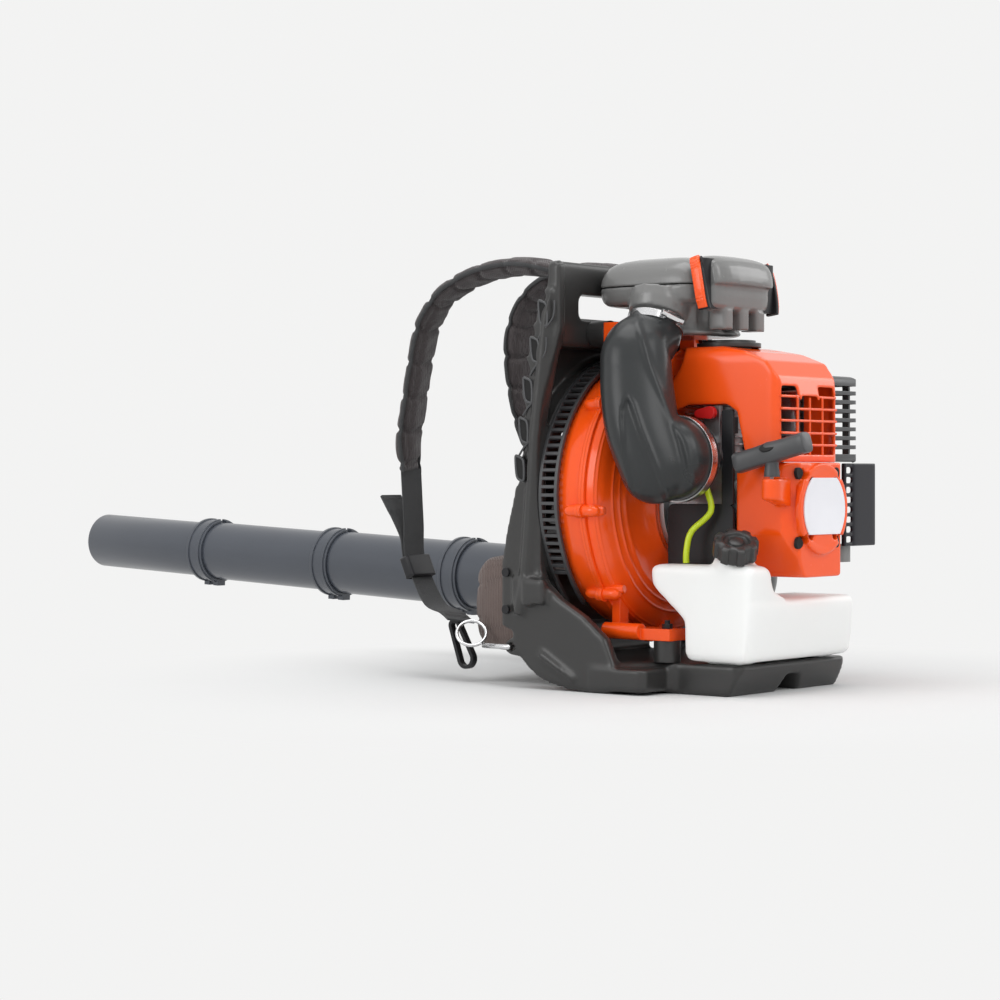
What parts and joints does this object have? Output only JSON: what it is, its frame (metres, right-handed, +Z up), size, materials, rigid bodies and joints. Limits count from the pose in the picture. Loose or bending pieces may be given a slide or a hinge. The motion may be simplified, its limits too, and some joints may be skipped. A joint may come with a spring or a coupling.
{
  "type": "backpack leaf blower",
  "caption": "Backpack leaf blower: padded harness frame, two-stroke engine and fan, white fuel tank, top air filter and jointed blowing tube with grip handle.",
  "frame": {"origin": "on the ground, straight below the crankshaft's axis", "axes": "+X is the wearer's right, +Y is the way the wearer faces and the blowing tube points, +Z is up"},
  "size_m": [0.4128, 1.4114, 0.4968],
  "materials": {
    "alloy": "die cast",
    "black": "matt",
    "charcoal": "moulded, light grain",
    "cloth_black": "woven, quilted",
    "cloth_brown": "woven",
    "grey": "satin moulded",
    "hose_yellow": "translucent fuel line",
    "label": "plain label",
    "orange": "gloss moulded",
    "paper": "pleated filter paper",
    "red": "gloss moulded",
    "steel": "zinc plated",
    "tank": "translucent white, satin",
    "tube": "satin moulded",
    "webbing": "ribbed webbing"
  },
  "bodies": {
    "blower": {"frame": "charcoal", "intake_grille": "charcoal", "lumbar_pad": "cloth_brown", "shoulder_pad_left": "cloth_black", "shoulder_pad_right": "cloth_black", "webbing_left": "webbing", "webbing_right": "webbing", "strap_adjusters": "charcoal", "pull_loops": "charcoal", "d_rings": "steel", "snap_hooks": "steel", "frame_bolts": "steel", "isolators": "black", "fuel_tank": "tank", "fuel_hose": "hose_yellow", "fan_housing_front": "orange", "fan_housing_rear": "orange", "housing_screws": "steel", "crank_bearings": "steel", "crankcase": "alloy", "cylinder_barrel": "alloy", "spark_plug": "steel", "ignition_module": "black", "carburettor": "alloy", "intake_hose": "charcoal", "hose_clamps": "steel", "filter_base": "grey", "filter_top": "grey", "filter_element": "paper", "engine_shroud": "charcoal", "cylinder_cover": "orange", "cover_cap": "charcoal", "starter_housing": "orange", "label_plate": "label", "muffler": "steel", "muffler_guard": "charcoal", "exhaust_guard": "charcoal", "outlet_elbow": "charcoal", "bellows": "black"},
    "rotor": {"crankshaft": "steel", "impeller": "charcoal", "flywheel": "alloy"},
    "starter_pulley": {"recoil_pulley": "charcoal"},
    "starter_pull": {"recoil_handle": "charcoal", "recoil_rope": "cloth_black"},
    "tank_cap": {"fuel_cap": "charcoal"},
    "filter_lid": {"filter_cover": "charcoal"},
    "latch_left": {"filter_latch_left": "orange"},
    "latch_right": {"filter_latch_right": "orange"},
    "choke": {"choke_lever": "red"},
    "carb_lever": {"throttle_lever": "steel"},
    "tube_ring": {"bellows_clamp": "steel"},
    "tube": {"swivel_tube": "tube", "tube_1": "tube", "tube_2": "tube", "nozzle_tube": "tube", "throttle_handle": "charcoal"},
    "trigger": {"throttle_trigger": "charcoal"},
    "cruise": {"cruise_lever": "charcoal"},
    "stop": {"stop_switch": "red"}
  },
  "joints": [
    {"name": "crank_spin", "type": "hinge", "parent": "blower", "child": "rotor", "pos_m": [0, 0, 0.203], "axis": [0, 1, 0], "continuous": true},
    {"name": "recoil_pull", "type": "slide", "parent": "blower", "child": "starter_pull", "axis": [0, 0, 1], "range_m": [0, 0.7], "stiffness_N_per_m": 20, "springref_m": -0.25, "deforming": ["recoil_rope"]},
    {"name": "recoil_pulley_spin", "type": "hinge", "parent": "blower", "child": "starter_pulley", "pos_m": [0, -0.184, 0.203], "axis": [0, 1, 0], "range_deg": [0, 1380]},
    {"name": "fuel_cap_turn", "type": "hinge", "parent": "blower", "child": "tank_cap", "pos_m": [-0.084, -0.146, 0.136], "axis": [-0.3822, -0.3422, 0.8584], "range_deg": [0, 270]},
    {"name": "filter_cover_off", "type": "slide", "parent": "blower", "child": "filter_lid", "axis": [0, -1, 0], "range_m": [0, 0.06]},
    {"name": "filter_latch_left_swing", "type": "hinge", "parent": "filter_lid", "child": "latch_left", "pos_m": [-0.076, -0.101, 0.431], "axis": [1, 0, 0], "range_deg": [0, 50]},
    {"name": "filter_latch_right_swing", "type": "hinge", "parent": "filter_lid", "child": "latch_right", "pos_m": [0.066, -0.101, 0.431], "axis": [1, 0, 0], "range_deg": [0, 50]},
    {"name": "choke_turn", "type": "hinge", "parent": "blower", "child": "choke", "pos_m": [-0.054, -0.098, 0.309], "axis": [1, 0, 0], "range_deg": [-40, 0]},
    {"name": "carb_throttle_turn", "type": "hinge", "parent": "blower", "child": "carb_lever", "pos_m": [-0.06, -0.084, 0.284], "axis": [0, 0, 1], "range_deg": [0, 38]},
    {"name": "tube_lift", "type": "hinge", "parent": "blower", "child": "tube_ring", "pos_m": [0.204, 0.12345, 0.09233], "axis": [1, 0, 0], "range_deg": [-12, 15], "deforming": ["bellows"]},
    {"name": "tube_swing", "type": "hinge", "parent": "tube_ring", "child": "tube", "pos_m": [0.204, 0.15641, 0.09389], "axis": [0, 0, 1], "range_deg": [-6, 6]},
    {"name": "trigger_squeeze", "type": "hinge", "parent": "tube", "child": "trigger", "pos_m": [0.204, 0.31022, 0.24098], "axis": [1, 0, 0], "range_deg": [-8, 0], "stiffness_Nm_per_rad": 1.2, "springref_deg": 8.59},
    {"name": "cruise_turn", "type": "hinge", "parent": "tube", "child": "cruise", "pos_m": [0.192, 0.29986, 0.25954], "axis": [1, 0, 0], "range_deg": [-60, 0]},
    {"name": "stop_slide", "type": "slide", "parent": "tube", "child": "stop", "axis": [0, 0.9781, -0.2079], "range_m": [0, 0.003]}
  ],
  "couplings": [
    {"joint": "recoil_pulley_spin", "follows": "recoil_pull", "rad_per_m": 32.787},
    {"joint": "carb_throttle_turn", "follows": "trigger_squeeze", "ratio": -4.75}
  ]
}
